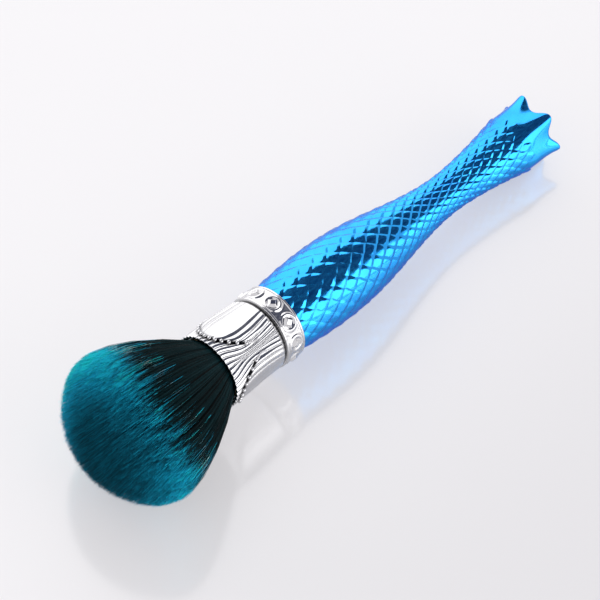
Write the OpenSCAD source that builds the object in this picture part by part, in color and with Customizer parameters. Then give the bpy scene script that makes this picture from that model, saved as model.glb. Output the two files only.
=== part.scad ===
// Dusting brush with a fish-scale handle, lying on its side.
// Millimetres, +Z up, the tuft toward -X, resting on the tuft and two tail points.
// Every piece is built round one brush axis: z = 0 is the seam of collar and handle,
// the tuft is at -z, the tail at +z, and angle 0 faces up when the brush lies down.

/* [Tuft] */
// Free length of the tuft, from the ferrule mouth to the crown
tuft_length = 50; // [44:1:60]
// Greatest radius of the tuft
tuft_radius = 26; // [22:0.5:30]
// Depth of the rounded crown, from the widest level to its top
crown_depth = 19.5; // [14:0.5:24]
// Rings of strands round the middle strand
strand_rings = 10; // [10:1:12]

/* [Ferrule] */
// Radius of the sleeve next to the collar, in the grooves of its pleats
sleeve_radius = 12; // [11.5:0.1:13]
// Length of the sleeve
sleeve_length = 22; // [18:0.5:28]
// How much the sleeve widens toward its mouth
sleeve_flare = 0.5; // [0:0.1:1.2]
// Number of bead swags round the sleeve
swag_count = 3; // [2:1:4]
// Number of beads on one swag
bead_count = 13; // [9:2:21]
// Height of the pleats
pleat_height = 0.45; // [0.2:0.05:0.6]

/* [Collar] */
// Width of the collar ring along the brush
collar_width = 8.4; // [7:0.2:11]
// How far the rims of the collar stand out from the sleeve
collar_step = 0.5; // [0.3:0.1:1]
// Number of faceted studs round the collar
stud_count = 10; // [6:1:12]

/* [Handle] */
// Length of the scaled handle, from the collar to the last scale tips
handle_length = 107.2; // [95:0.2:125]
// Radius of the handle at the collar
handle_radius = 12.1; // [11.5:0.1:12.4]
// Radius of the bulge
bulge_radius = 13.4; // [12.6:0.1:15]
// Radius of the waist
waist_radius = 6.9; // [6.4:0.1:8.5]
// Radius at the last scale tips
flare_radius = 10.7; // [10.2:0.1:12]
// Number of scales round the handle
scale_count = 16; // [12:1:18]
// Height of the step at the free edge of a scale
scale_step = 0.3; // [0.2:0.05:0.5]

/* [Tail] */
// Length of the smooth tail beyond the last scale tips
tail_length = 9.8; // [8:0.2:14]
// Radius of the tail at its points
tail_radius = 11.4; // [10.8:0.1:13]
// Number of points of the tail
tail_points = 6; // [5:1:8]

/* [Hidden] */
$fn = 96;

// Gap that glue fills between two pieces
fit_gap = 0.05;
// Depth by which joined solids of one piece run into each other
bite = 0.6;

// Levels along the brush axis
sleeve_top = -collar_width;
mouth = sleeve_top - sleeve_length;
widest = mouth - (tuft_length - crown_depth);

// Walls of sleeve and liner, and the funnel in which the tuft starts to spread
sleeve_wall = 0.8;
liner_wall = 0.35;
funnel_depth = 2;
funnel_wall = 0.45;
liner_radius = sleeve_radius - sleeve_wall;
liner_bore = liner_radius - liner_wall;
root_face = mouth + funnel_depth;

// Tuft: root slice, strand levels and cross-section
slice_height = 1.6;
root_margin = 0.75;
root_radius = liner_bore - root_margin;
flare_power = 1.5;
crown_power = 1.8;
strand_levels = [0, 0.3, 0.65, 0.96];
strand_sides = 3;
strand_fill = 0.46;
ring_strands = 6;

// Glue plug behind the slice, and tang with one end in the liner and one in the handle
plug_height = 6;
plug_low = root_face + slice_height + fit_gap;
tang_front = plug_low + plug_height + fit_gap;
tang_depth = 18;
tang_radius = 7.5;

// Handle: rows of scales, with long scales on the bulge and short ones after it
long_rows = 8;
short_rows = 12;
long_share = 0.468;
last_row = 2 * (long_rows + short_rows);
bulge_level = 0.19 * handle_length;
waist_level = 0.712 * handle_length;
bulge_power = 1.1;
waist_power = 1.65;
scale_turn = 5.2;
scale_crown = 0.12;

// Tail: conical seat in the handle, spigot, and star section
seat_depth = 6;
seat_level = handle_length - seat_depth;
seat_radius = 7.6;
lip_wall = 0.6;
lip_radius = flare_radius - lip_wall;
spigot_radius = 4.5;
spigot_length = 8;
tail_end = handle_length + tail_length;
notch = 2.4;
valley_radius = 0.84 * tail_radius;
ridge_power = 1.1;
ridge_columns = 12;
tail_columns = ridge_columns * tail_points;
tail_levels = [0, 0.2, 0.375, 0.5, 0.65, 0.8, 0.92, 1];
tail_lip = 0.8;
tail_dish = 2;

// Sleeve relief: pleats gather at the knots between the swags
pleats = 14;
sleeve_columns = 2 * pleats * swag_count;
sleeve_levels = 9;
knot_turn = 42.5;
knot_level = 0.45;
knot_half = 14;
gather_depth = 0.8;
gather_end = 1.4;
swag_low = 0.09;
bead_radius = 0.7;
bead_sides = 6;

// Collar relief: rims, sunk band, groove beside the sleeve, studs in round dishes
rim_width = 0.8;
rim_height = 0.35;
rim_radius = sleeve_radius + collar_step;
band_radius = rim_radius - rim_height;
groove_width = 0.6;
groove_radius = band_radius - rim_height;
stud_turn = 5.1;
stud_half = 2.4;
stud_table = 1.2;
stud_height = 0.9;
stud_sides = 4;
dish_radius = 2.9;
dish_depth = 0.25;

// Strands

// Radius of the whole bundle at the part u of a strand's length
function bundle(u) = root_radius + (tuft_radius - root_radius) * (1 - pow(1 - u, flare_power));

// Level of a strand's tip, for a strand at the share rho of the bundle's radius
function tip_level(rho) = widest - crown_depth * pow(1 - pow(rho, crown_power), 1 / crown_power);

// Share of the radius of ring k
function ring_share(k) = k / (strand_rings + strand_fill);

// A point of a strand on ring k at angle a: part u of its length, moved by w at angle b
function strand_point(k, a, u, w, b) =
    let (rho = ring_share(k), r = rho * bundle(u))
    [r * cos(a) + w * cos(a + b), r * sin(a) + w * sin(a + b),
     root_face + bite + u * (tip_level(rho) - root_face - bite)];

// Half-width of a strand at the part u of its length
function strand_width(u) = strand_fill * bundle(u) / (strand_rings + strand_fill);

strands = concat([[0, 0]], [for (k = [1 : strand_rings]) for (i = [0 : ring_strands * k - 1])
    [k, 360 * (i + (k % 2) / 2) / (ring_strands * k)]]);
strand_size = strand_sides * len(strand_levels) + 1;
tuft_points = [for (s = strands) each concat(
    [for (u = strand_levels) for (c = [0 : strand_sides - 1])
        strand_point(s[0], s[1], u, strand_width(u), 360 * c / strand_sides)],
    [strand_point(s[0], s[1], 1, 0, 0)])];

// Faces of one strand whose points start at the index o
function strand_faces(o) = let (n = strand_sides, m = len(strand_levels)) concat(
    [[for (c = [0 : n - 1]) o + n - 1 - c]],
    [for (l = [0 : m - 2]) for (c = [0 : n - 1]) let (p = o + l * n, d = (c + 1) % n) each
        [[p + c, p + d, p + n + d], [p + c, p + n + d, p + n + c]]],
    [for (c = [0 : n - 1]) let (p = o + (m - 1) * n)
        [p + c, p + (c + 1) % n, o + strand_size - 1]]);

// Handle

// Level of the half row j of scales
function row_level(j) = j <= 2 * long_rows
    ? j * handle_length * long_share / (2 * long_rows)
    : handle_length * (long_share + (1 - long_share) * (j - 2 * long_rows) / (2 * short_rows));

// Radius of the handle over the scale tips
function handle_outline(z) = z < bulge_level
    ? handle_radius + (bulge_radius - handle_radius) * sin(90 * z / bulge_level)
    : z < waist_level
    ? waist_radius + (bulge_radius - waist_radius)
        * (1 + cos(180 * pow((z - bulge_level) / (waist_level - bulge_level), bulge_power))) / 2
    : waist_radius + (flare_radius - waist_radius)
        * pow((z - waist_level) / (handle_length - waist_level), waist_power);

// A point at radius r, angle a and level z
function polar(r, a, z) = [r * cos(a), r * sin(a), z];

function scale_angle(i, j) = scale_turn + (i + (j % 2) / 2) * 360 / scale_count;

// Each lattice point has three heights: the root of a scale, its side corners and its tip
function scale_node(i, j, h) = (j * scale_count + (i + scale_count) % scale_count) * 3 + h;
function scale_middle(i, j) = (last_row + 1) * scale_count * 3 + j * scale_count + i;
handle_end = (last_row + 1) * scale_count * 3 + (last_row - 1) * scale_count;
handle_points = concat(
    [for (j = [0 : last_row]) for (i = [0 : scale_count - 1]) for (h = [0 : 2])
        polar(handle_outline(row_level(j)) - (2 - h) * scale_step, scale_angle(i, j), row_level(j))],
    [for (j = [0 : last_row - 2]) for (i = [0 : scale_count - 1])
        polar(handle_outline(row_level(j + 1)) - scale_step + scale_crown,
            scale_angle(i, j), row_level(j + 1))],
    [[0, 0, row_level(last_row - 1)]]);

// Step walls along both free edges of a scale: left corner l and right corner r
// in row j, tip t in the next row
function scale_walls(l, r, t, j) = [
    [scale_node(t, j + 1, 2), scale_node(l, j, 1), scale_node(l, j, 0)],
    [scale_node(t, j + 1, 2), scale_node(l, j, 0), scale_node(t, j + 1, 1)],
    [scale_node(r, j, 1), scale_node(t, j + 1, 2), scale_node(t, j + 1, 1)],
    [scale_node(r, j, 1), scale_node(t, j + 1, 1), scale_node(r, j, 0)]];

// Plate of the scale whose root is lattice point i of row j
function scale_plate(i, j) = let (
    l = i - 1 + j % 2, m = scale_middle(i, j), root = scale_node(i, j, 0),
    left = scale_node(l, j + 1, 1), right = scale_node(l + 1, j + 1, 1),
    tip = scale_node(i, j + 2, 2))
    [[root, left, m], [left, tip, m], [tip, right, m], [right, root, m]];

handle_faces = concat(
    [[for (i = [0 : scale_count - 1]) scale_node(i, 0, 1)]],
    [for (i = [0 : scale_count - 1]) each concat(
        [[scale_node(i, 0, 1), scale_node(i, 1, 2), scale_node(i + 1, 0, 1)]],
        scale_walls(i, i + 1, i, 0))],
    [for (j = [0 : last_row - 2]) for (i = [0 : scale_count - 1]) let (l = i - 1 + j % 2)
        each concat(scale_plate(i, j),
            j < last_row - 2 ? scale_walls(l, l + 1, i, j + 1) : [])],
    [for (i = [0 : scale_count - 1]) let (l = i - 1 + last_row % 2) each
        [[scale_node(i, last_row, 2), scale_node(l, last_row - 1, 1), handle_end],
         [scale_node(l + 1, last_row - 1, 1), scale_node(i, last_row, 2), handle_end]]]);

// Faces of a closed skin: rows of n points each, from the lowest level to the highest,
// then the middle point of its upper end and that of its lower end
function skin_faces(n, rows) = concat(
    [for (c = [0 : n - 1]) [c, (c + 1) % n, rows * n + 1]],
    [for (l = [0 : rows - 2]) for (c = [0 : n - 1]) let (p = l * n, d = (c + 1) % n) each
        [[p + c, p + n + c, p + n + d], [p + c, p + n + d, p + d]]],
    [for (c = [0 : n - 1]) let (p = (rows - 1) * n) [p + c, rows * n, p + (c + 1) % n]]);

// Tail

// Share of the way from valley to ridge at angle a; two ridges point down at equal angles
function ridge(a) = pow((1 - cos(tail_points * (a - 180))) / 2, ridge_power);

// Radius of the round seat at level z
function seat(z) = seat_radius + (lip_radius - seat_radius) * (z - seat_level) / seat_depth;

// Radius of the tail at level z, on a line with ridge share c
function tail_outline(c, z) = let (free = max(0, (z - handle_length) / tail_length))
    seat(min(z, handle_length)) - fit_gap
        + free * (c * (tail_radius - lip_radius) - (1 - c) * (lip_radius - valley_radius));

function tail_top(c) = tail_end - notch * (1 - c);
function tail_angle(i) = 360 * i / tail_columns;
tail_skin = concat(
    [for (m = tail_levels) for (i = [0 : tail_columns - 1])
        let (c = ridge(tail_angle(i)), base = seat_level + fit_gap,
            z = base + m * (tail_top(c) - base))
        polar(tail_outline(c, z), tail_angle(i), z)],
    [for (i = [0 : tail_columns - 1]) let (c = ridge(tail_angle(i)))
        polar(tail_outline(c, tail_top(c)) - tail_lip, tail_angle(i), tail_top(c))],
    [[0, 0, tail_end - notch - tail_dish], [0, 0, seat_level + fit_gap]]);

// Sleeve

// Half the angle between two knots
half_swag = 180 / swag_count;

// Power that gathers the pleats toward a knot, strongest at the knots' level
function gather(v) = 1 + gather_depth
    * (v < knot_level ? v / knot_level : (gather_end - v) / (gather_end - knot_level));

// Angle from the nearest knot, for a pleat line at the share k from -1 to 1
function pleat_angle(k, v) = sign(k) * half_swag * pow(abs(k), gather(v));

// Share of the sleeve's length where the bead string crosses the angle a from the knot
function swag_level(a) = knot_level - (knot_level - swag_low)
    * (1 - pow((half_swag - abs(a)) / (half_swag - knot_half), 2));

function sleeve_outline(v) = sleeve_radius + sleeve_flare * (1 - v);
function sleeve_z(v) = mouth + v * sleeve_length;
sleeve_skin = concat(
    [for (l = [0 : sleeve_levels - 1]) for (i = [0 : sleeve_columns - 1])
        let (v = l / (sleeve_levels - 1), sector = floor(i / (2 * pleats)),
            k = (i % (2 * pleats)) / pleats - 1)
        polar(sleeve_outline(v) + pleat_height * (i % 2),
            knot_turn + 2 * half_swag * sector + pleat_angle(k, v), sleeve_z(v))],
    [[0, 0, sleeve_top], [0, 0, mouth]]);

// Lying down

// Touching radius between two tail points, and the slope from tuft to tail
tail_touch = tail_radius * cos(180 / tail_points);
tilt = atan((tuft_radius - tail_touch) / (tail_end - widest));
function lie_x(p) = p[0] * sin(tilt) + p[2] * cos(tilt);
function lie_z(p) = p[0] * cos(tilt) - p[2] * sin(tilt);
hull_points = concat(tuft_points, tail_skin);
lie_xs = [for (p = hull_points) lie_x(p)];
lie_zs = [for (p = hull_points) lie_z(p)];

module lie() {
    translate([-(min(lie_xs) + max(lie_xs)) / 2, 0, -min(lie_zs)])
        rotate([0, 90 + tilt, 0])
            rotate([0, 0, 180])
                children();
}

// A plain round disc or plug between two levels
module plug(low, high, r) {
    translate([0, 0, low])
        cylinder(h = high - low, r = r);
}

// A round tube between two levels
module tube(low, high, r, bore) {
    difference() {
        plug(low, high, r);
        plug(low - bite, high + bite, bore);
    }
}

// Soft filaments on the resin slice that holds their roots
module bristle_tuft() {
    color("#0f6f86")
        lie() {
            plug(root_face, root_face + slice_height, liner_bore - fit_gap);
            polyhedron(tuft_points,
                [for (s = [0 : len(strands) - 1]) each strand_faces(s * strand_size)]);
        }
}

// Cured epoxy behind the root slice
module glue_plug() {
    color("#d8c48c")
        lie()
            plug(plug_low, plug_low + plug_height, liner_bore - fit_gap);
}

// Thin tube that carries tuft, sleeve and collar
module ferrule_liner() {
    color("#b9bdc2")
        lie()
            tube(root_face, -fit_gap, liner_radius, liner_bore);
}

// Beads along the free edge of one swag
module bead_string() {
    for (b = [0 : bead_count - 1])
        let (a = (half_swag - knot_half) * (2 * b / (bead_count - 1) - 1),
            v = swag_level(half_swag - abs(a)))
            rotate([0, 0, half_swag + a])
                translate([sleeve_outline(v) + pleat_height, 0, sleeve_z(v)])
                    sphere(r = bead_radius, $fn = bead_sides);
}

// Widening of the sleeve's bore toward its mouth, which gives the tuft room to spread
module funnel() {
    slope = (sleeve_outline(0) - funnel_wall - liner_radius) / (root_face - mouth);
    translate([0, 0, mouth - bite])
        cylinder(h = root_face - mouth + bite, r1 = sleeve_outline(0) - funnel_wall + bite * slope,
            r2 = liner_radius);
}

// Chromed sleeve with gathered pleats and bead swags
module ferrule_sleeve() {
    color("#e9ebee")
        lie() {
            difference() {
                polyhedron(sleeve_skin, skin_faces(sleeve_columns, sleeve_levels));
                plug(mouth - bite, sleeve_top + bite, liner_radius + fit_gap);
                funnel();
            }
            for (s = [0 : swag_count - 1])
                rotate([0, 0, knot_turn + 2 * half_swag * s])
                    bead_string();
        }
}

// One faceted stud with a flat top, pointing away from the brush axis
module stud() {
    translate([band_radius - dish_depth - bite, 0, sleeve_top + collar_width / 2])
        rotate([0, 90, 0])
            cylinder(h = stud_height + bite, r1 = stud_half, r2 = stud_table, $fn = stud_sides);
}

// Round dish in which a stud stands
module dish() {
    ball = (dish_radius * dish_radius + dish_depth * dish_depth) / (2 * dish_depth);
    translate([band_radius - dish_depth + ball, 0, sleeve_top + collar_width / 2])
        sphere(r = ball);
}

// Chromed band with raised rims and studs in round dishes
module collar_ring() {
    color("#e9ebee")
        lie() {
            difference() {
                union() {
                    plug(sleeve_top, -fit_gap, groove_radius);
                    plug(sleeve_top + groove_width, -fit_gap, band_radius);
                    plug(sleeve_top + groove_width, sleeve_top + groove_width + rim_width, rim_radius);
                    plug(-rim_width, -fit_gap, rim_radius);
                }
                plug(sleeve_top - bite, bite, liner_radius + fit_gap);
                for (s = [0 : stud_count - 1])
                    rotate([0, 0, stud_turn + s * 360 / stud_count])
                        dish();
            }
            for (s = [0 : stud_count - 1])
                rotate([0, 0, stud_turn + s * 360 / stud_count])
                    stud();
        }
}

// Stepped plug that joins liner and handle
module handle_tang() {
    color("#dedbd2")
        lie() {
            plug(tang_front, -fit_gap, liner_bore - fit_gap);
            plug(-fit_gap - bite, tang_depth, tang_radius);
        }
}

// Handle under rows of overlapping fish scales
module handle_shell() {
    color("#1e82e6")
        lie()
            difference() {
                polyhedron(handle_points, handle_faces);
                plug(-bite, tang_depth + fit_gap, tang_radius + fit_gap);
                plug(seat_level - spigot_length - fit_gap, seat_level + bite, spigot_radius + fit_gap);
                translate([0, 0, seat_level])
                    cylinder(h = 2 * seat_depth, r1 = seat(seat_level),
                        r2 = seat(seat_level + 2 * seat_depth));
            }
}

// Smooth fluted tail with its spigot
module tail_fin() {
    color("#2a94f0")
        lie() {
            polyhedron(tail_skin, skin_faces(tail_columns, len(tail_levels) + 1));
            plug(seat_level - spigot_length, seat_level + bite, spigot_radius);
        }
}

bristle_tuft();
glue_plug();
ferrule_liner();
ferrule_sleeve();
collar_ring();
handle_tang();
handle_shell();
tail_fin();
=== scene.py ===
# %% [markdown]
# # A dusting brush with a fish-scale handle
# The brush lies on a white table. A soft round tuft sits in a chromed ferrule, and the handle is
# covered with rows of overlapping scales and ends in a smooth tail with six points.
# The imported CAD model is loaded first. It fixes every size, so each piece below is made to lie
# where its CAD part lies.

# %% Load the frame
import math
from types import SimpleNamespace

import bmesh
import bpy
import numpy as np
from mathutils import Matrix, Vector


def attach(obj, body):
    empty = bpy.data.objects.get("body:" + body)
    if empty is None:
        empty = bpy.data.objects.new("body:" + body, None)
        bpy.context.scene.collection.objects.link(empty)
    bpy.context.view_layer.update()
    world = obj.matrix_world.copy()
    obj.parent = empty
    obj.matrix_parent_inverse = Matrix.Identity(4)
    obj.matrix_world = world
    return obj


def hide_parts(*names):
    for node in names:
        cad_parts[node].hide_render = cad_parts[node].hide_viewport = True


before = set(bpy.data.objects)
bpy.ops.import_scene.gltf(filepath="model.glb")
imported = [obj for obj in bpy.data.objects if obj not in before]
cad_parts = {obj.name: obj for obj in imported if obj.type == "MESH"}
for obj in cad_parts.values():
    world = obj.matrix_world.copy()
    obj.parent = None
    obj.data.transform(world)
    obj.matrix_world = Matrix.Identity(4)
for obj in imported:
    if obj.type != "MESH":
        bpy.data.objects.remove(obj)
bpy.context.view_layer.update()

# %% [markdown]
# ## One axis for all pieces
# A brush is a turned object, so every piece is easiest to draw round an upright axis, in
# millimetres: z = 0 is the seam of collar and handle, the tuft is at -z and the tail at +z.
# One matrix then lays a finished piece on the table. It is applied to the mesh itself, so that
# each object stays at the origin.

# %% The lying position
MM = 0.001
TILT = math.radians(5.17992)
SEAM = Vector((-0.0186509, 0.0, 0.0204505))
lay_down = Matrix.Translation(SEAM) @ Matrix.Scale(MM, 4) @ Matrix((
    (math.sin(TILT), 0, math.cos(TILT), 0),
    (0, -1, 0, 0),
    (math.cos(TILT), 0, -math.sin(TILT), 0),
    (0, 0, 0, 1)))


def around(radius, angle, level):
    """A point at a radius, an angle in degrees and a level along the brush axis."""
    turn = math.radians(angle)
    return Vector((radius * math.cos(turn), radius * math.sin(turn), level))


print("the middle of the seam lies", round(SEAM.z / MM, 1), "mm above the table")

# %% [markdown]
# ## Camera
# The photograph was taken from above and from far away, with a long lens, so that lines hardly
# converge. The camera looks down at 53 degrees and a long focal length gives the same flatness.
# The seam of collar and handle fixes the framing: it lies a little left of the middle.

# %% The camera
DOWN, HEADING = math.radians(53.31), math.radians(44.06)
LENS, SENSOR, IMAGE = 270.0, 36.0, 600
PIXELS_PER_M = 3266.7
SEAM_PIXEL = (277, 320)
forward = Vector((math.cos(DOWN) * math.cos(HEADING), math.cos(DOWN) * math.sin(HEADING),
                  -math.sin(DOWN)))
right = Vector((math.sin(HEADING), -math.cos(HEADING), 0))
upward = right.cross(forward)
distance = LENS / SENSOR * IMAGE / PIXELS_PER_M


def put_in_scene(name, data):
    """An object for a camera, a lamp or a mesh, at the origin."""
    made = bpy.data.objects.new(name, data)
    bpy.context.scene.collection.objects.link(made)
    return made


camera_data = bpy.data.cameras.new("camera")
camera_data.lens, camera_data.sensor_width = LENS, SENSOR
camera = put_in_scene("camera", camera_data)
camera.location = (SEAM - forward * distance
                   + right * (IMAGE / 2 - SEAM_PIXEL[0]) / PIXELS_PER_M
                   + upward * (SEAM_PIXEL[1] - IMAGE / 2) / PIXELS_PER_M)
camera.rotation_mode = "QUATERNION"
camera.rotation_quaternion = forward.to_track_quat("-Z", "Y")
bpy.context.scene.camera = camera
bpy.context.scene.view_settings.view_transform = "Standard"
print("camera at", tuple(round(v, 3) for v in camera.location))

# %% [markdown]
# ## Helpers for materials
# Colours are written as the hex codes that a colour picker shows. Blender calculates with linear
# light, so one function converts them. A second function adds one node with its settings and its
# links, which keeps each material a short list.

# %% Material helpers


def linear(code):
    """A hex colour as linear red, green, blue and alpha."""
    parts = [int(code[i:i + 2], 16) / 255 for i in (1, 3, 5)]
    return tuple(p / 12.92 if p <= 0.04045 else ((p + 0.055) / 1.055) ** 2.4 for p in parts) + (1,)


def add(tree, kind, inputs=(), **settings):
    """Add a shader node. Each input is a value, or the output socket that feeds it."""
    made = tree.nodes.new("ShaderNode" + kind)
    for name, value in settings.items():
        setattr(made, name, value)
    for name, value in dict(inputs).items():
        if isinstance(value, bpy.types.NodeSocket):
            tree.links.new(value, made.inputs[name])
        else:
            made.inputs[name].default_value = value
    return made


def new_material(name):
    """An empty material: its node tree and its Principled shader."""
    material = bpy.data.materials.new(name)
    material.use_nodes = True
    return material, material.node_tree, material.node_tree.nodes["Principled BSDF"]


print("middle grey in linear light", round(linear("#808080")[0], 3))

# %% [markdown]
# ## Table
# The table is a sheet of white acrylic: a flat white with a clear glossy skin, so the brush shows
# in it faintly. Bounced light alone leaves such a sheet grey, so the camera sees it mixed with a
# share of plain paper white. A sheet with an edge would show its end from a low camera. It
# therefore fades, with distance, into the same plain white as the world behind it.

# %% White acrylic
PAPER = "#F2F0F3"
FADE_NEAR, FADE_FAR = 0.25, 0.9
CAMERA_SHARE = 0.56
SKIN_IOR, SKIN_ROUGHNESS = 1.9, 0.16


def seeing_rays(tree):
    """The Light Path node, and a socket that is 1 for rays of the camera, of mirrors and of glass."""
    ray = add(tree, "LightPath")
    seen = add(tree, "Math", {0: ray.outputs["Is Camera Ray"], 1: ray.outputs["Is Glossy Ray"]},
               operation="MAXIMUM")
    seen = add(tree, "Math", {0: seen.outputs[0], 1: ray.outputs["Is Transmission Ray"]},
               operation="MAXIMUM")
    return ray, seen.outputs[0]


# Cast acrylic with a polished face: soft shadows on white, and a blurred, weak mirror over them.
acrylic, tree, shader = new_material("white_acrylic")
shader.inputs["Base Color"].default_value = linear("#EDEBEE")
shader.inputs["Roughness"].default_value = 0.5
shader.inputs["Specular IOR Level"].default_value = 0.0
place = add(tree, "TexCoord")
reach = add(tree, "VectorMath", {0: place.outputs["Object"]}, operation="LENGTH")
fade = add(tree, "MapRange", {"Value": reach.outputs["Value"], "From Min": FADE_NEAR,
                              "From Max": FADE_FAR}, interpolation_type="SMOOTHSTEP")
ray, seen = seeing_rays(tree)
far = add(tree, "Math", {0: fade.outputs["Result"], 1: seen}, operation="MULTIPLY")
soft = add(tree, "Math", {0: ray.outputs["Is Camera Ray"], 1: CAMERA_SHARE}, operation="MULTIPLY")
share = add(tree, "Math", {0: far.outputs[0], 1: soft.outputs[0]}, operation="MAXIMUM")
glow = add(tree, "Emission", {"Color": linear(PAPER), "Strength": 1.0})
sheet = add(tree, "MixShader", {0: share.outputs[0], 1: shader.outputs[0], 2: glow.outputs[0]})
skin = add(tree, "Fresnel", {"IOR": SKIN_IOR})
near = add(tree, "Math", {0: 1.0, 1: fade.outputs["Result"]}, operation="SUBTRACT")
skin = add(tree, "Math", {0: skin.outputs[0], 1: near.outputs[0]}, operation="MULTIPLY")
mirror = add(tree, "BsdfGlossy", {"Color": linear("#FFFFFF"), "Roughness": SKIN_ROUGHNESS})
glazed = add(tree, "MixShader", {0: skin.outputs[0], 1: sheet.outputs[0], 2: mirror.outputs[0]})
tree.links.new(glazed.outputs[0], tree.nodes["Material Output"].inputs["Surface"])
print("white acrylic has", len(tree.nodes), "nodes")

# %% The table
TABLE_RADIUS = 12.0


def finished_mesh(name, bm):
    """Write a bmesh into a new mesh and free it."""
    mesh = bpy.data.meshes.new(name)
    bm.to_mesh(mesh)
    bm.free()
    return mesh


table_bm = bmesh.new()
bmesh.ops.create_circle(table_bm, cap_ends=True, segments=96, radius=TABLE_RADIUS)
table = put_in_scene("table", finished_mesh("table", table_bm))
table.data.materials.append(acrylic)
print("table of", 2 * TABLE_RADIUS, "m made")

# %% [markdown]
# ## World
# The world does two jobs. What the camera, a mirror or glass sees is plain paper white. The light
# that it sheds on the brush is weaker, so that colours look as they are written.

# %% The world
WORLD_LIGHT = 0.76
world = bpy.data.worlds.new("studio")
world.use_nodes = True
bpy.context.scene.world = world
tree = world.node_tree
tree.nodes.clear()
ray, seen = seeing_rays(tree)
fill = add(tree, "Background", {"Color": linear("#FFFFFF"), "Strength": WORLD_LIGHT})
paper = add(tree, "Background", {"Color": linear(PAPER), "Strength": 1.0})
both = add(tree, "MixShader", {0: seen, 1: fill.outputs[0], 2: paper.outputs[0]})
add(tree, "OutputWorld", {"Surface": both.outputs[0]})
print("world light", WORLD_LIGHT)

# %% [markdown]
# ## Studio light
# Polished metal shows what stands around it more than it shows its own colour. A large bright wall
# stands behind the brush, and a lower and stronger one in front of it. They give the bright flanks
# of the handle, and the world lights the rest.

# %% Light walls
CEILING_LEVEL, WALL_Y = 10.8, 5.0


def light_wall(name, centre, width, height, radiance):
    """A rectangular lamp that faces the plane of the brush, y = 0. Radiance 1 looks white."""
    lamp = bpy.data.lights.new(name, "AREA")
    lamp.shape, lamp.size, lamp.size_y = "RECTANGLE", width, height
    lamp.energy = radiance * math.pi * width * height
    made = put_in_scene(name, lamp)
    made.location = centre
    made.rotation_mode = "QUATERNION"
    made.rotation_quaternion = Vector((0, -centre[1], 0)).to_track_quat("-Z", "Y")
    made.visible_camera = False
    print(name, round(lamp.energy), "W")


light_wall("back_wall", centre=(4.0, WALL_Y, CEILING_LEVEL / 2), width=10.4, height=CEILING_LEVEL,
           radiance=0.88)
light_wall("front_wall", centre=(3.4, -8.0, 3.1), width=9.2, height=5.8, radiance=1.7)

# %% [markdown]
# A grey ceiling gives the dark stripe along the handle. It reaches far past the tail, because the
# camera looks along the brush from the tuft's side. It is cloudy, so that some scales of the stripe
# are darker than others, and it is seen in reflections only, so it takes no light away.

# %% Grey ceiling
CEILING_X, CEILING_LENGTH, CEILING_FRONT = 10.75, 24.5, -13.4
CLOUD_SCALE = 0.45

# Grey cloth, lit unevenly: dark and less dark patches, a little blue.
grey, tree, _ = new_material("grey_ceiling")
place = add(tree, "TexCoord")
patch = add(tree, "TexNoise", {"Vector": place.outputs["Object"], "Scale": CLOUD_SCALE, "Detail": 2.0})
tint = add(tree, "ValToRGB", {"Fac": patch.outputs["Fac"]})
dark, pale = tint.color_ramp.elements
dark.position, dark.color = 0.36, linear("#3A4058")
pale.position, pale.color = 0.64, linear("#7C7E88")
tint = add(tree, "Emission", {"Color": tint.outputs["Color"], "Strength": 1.0})
tree.links.new(tint.outputs[0], tree.nodes["Material Output"].inputs["Surface"])

ceiling_bm = bmesh.new()
bmesh.ops.create_grid(ceiling_bm, x_segments=1, y_segments=1, size=0.5)
bmesh.ops.scale(ceiling_bm, vec=(CEILING_LENGTH, WALL_Y - CEILING_FRONT, 1), verts=ceiling_bm.verts)
bmesh.ops.translate(ceiling_bm, vec=(CEILING_X, (WALL_Y + CEILING_FRONT) / 2, CEILING_LEVEL),
                    verts=ceiling_bm.verts)
ceiling = put_in_scene("ceiling", finished_mesh("ceiling", ceiling_bm))
ceiling.data.materials.append(grey)
ceiling.visible_camera = ceiling.visible_diffuse = ceiling.visible_shadow = False
ceiling.visible_transmission = ceiling.visible_volume_scatter = False
print("ceiling of", CEILING_LENGTH, "by", WALL_Y - CEILING_FRONT, "m made")

# %% [markdown]
# ## Making a piece
# Each piece starts as a bmesh round the upright axis. These functions lay it down, turn it into
# an object with its material, and tie it to the frame: it moves with the root body, and the CAD part
# that it stands for is hidden. Most pieces of a brush are turned, so a third function spins a
# profile.

# %% Piece makers
MERGE = 1e-4


def tie_to_frame(name, mesh, node):
    """Make a finished mesh a piece of the brush, in place of a CAD node."""
    piece = put_in_scene(name, mesh)
    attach(piece, "root")
    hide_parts(node)
    print(name, len(mesh.polygons), "faces")
    return piece


def make_piece(name, bm, material, node, smooth=True):
    """Turn a bmesh in millimetres round the brush axis into a piece that lies on the table."""
    bmesh.ops.transform(bm, matrix=lay_down, verts=bm.verts)
    mesh = finished_mesh(name, bm)
    mesh.polygons.foreach_set("use_smooth", [smooth] * len(mesh.polygons))
    mesh.materials.append(material)
    return tie_to_frame(name, mesh, node)


def lathe(points, steps):
    """Spin a profile of (radius, level) points once round the brush axis."""
    bm = bmesh.new()
    line = [bm.verts.new((radius, 0, level)) for radius, level in points]
    edges = [bm.edges.new(pair) for pair in zip(line, line[1:])]
    bmesh.ops.spin(bm, geom=line + edges, cent=(0, 0, 0), axis=(0, 0, 1), angle=math.tau,
                   steps=steps, use_merge=True)
    bmesh.ops.remove_doubles(bm, verts=bm.verts, dist=MERGE)
    bmesh.ops.recalc_face_normals(bm, faces=bm.faces)
    return bm


# %% [markdown]
# ## Chrome plating
# Ferrule and collar are pressed from brass sheet and chromed. Chrome is a neutral mirror, a touch
# colder than silver. Handling leaves it a little uneven, so a fine noise varies its roughness.
# Creases and grooves mirror only each other, which is dark. That dark is painted shade: a number on
# each point darkens the chrome's colour toward black.

# %% Chrome material
CHROME_HAZE = 2.5 * MM
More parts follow.
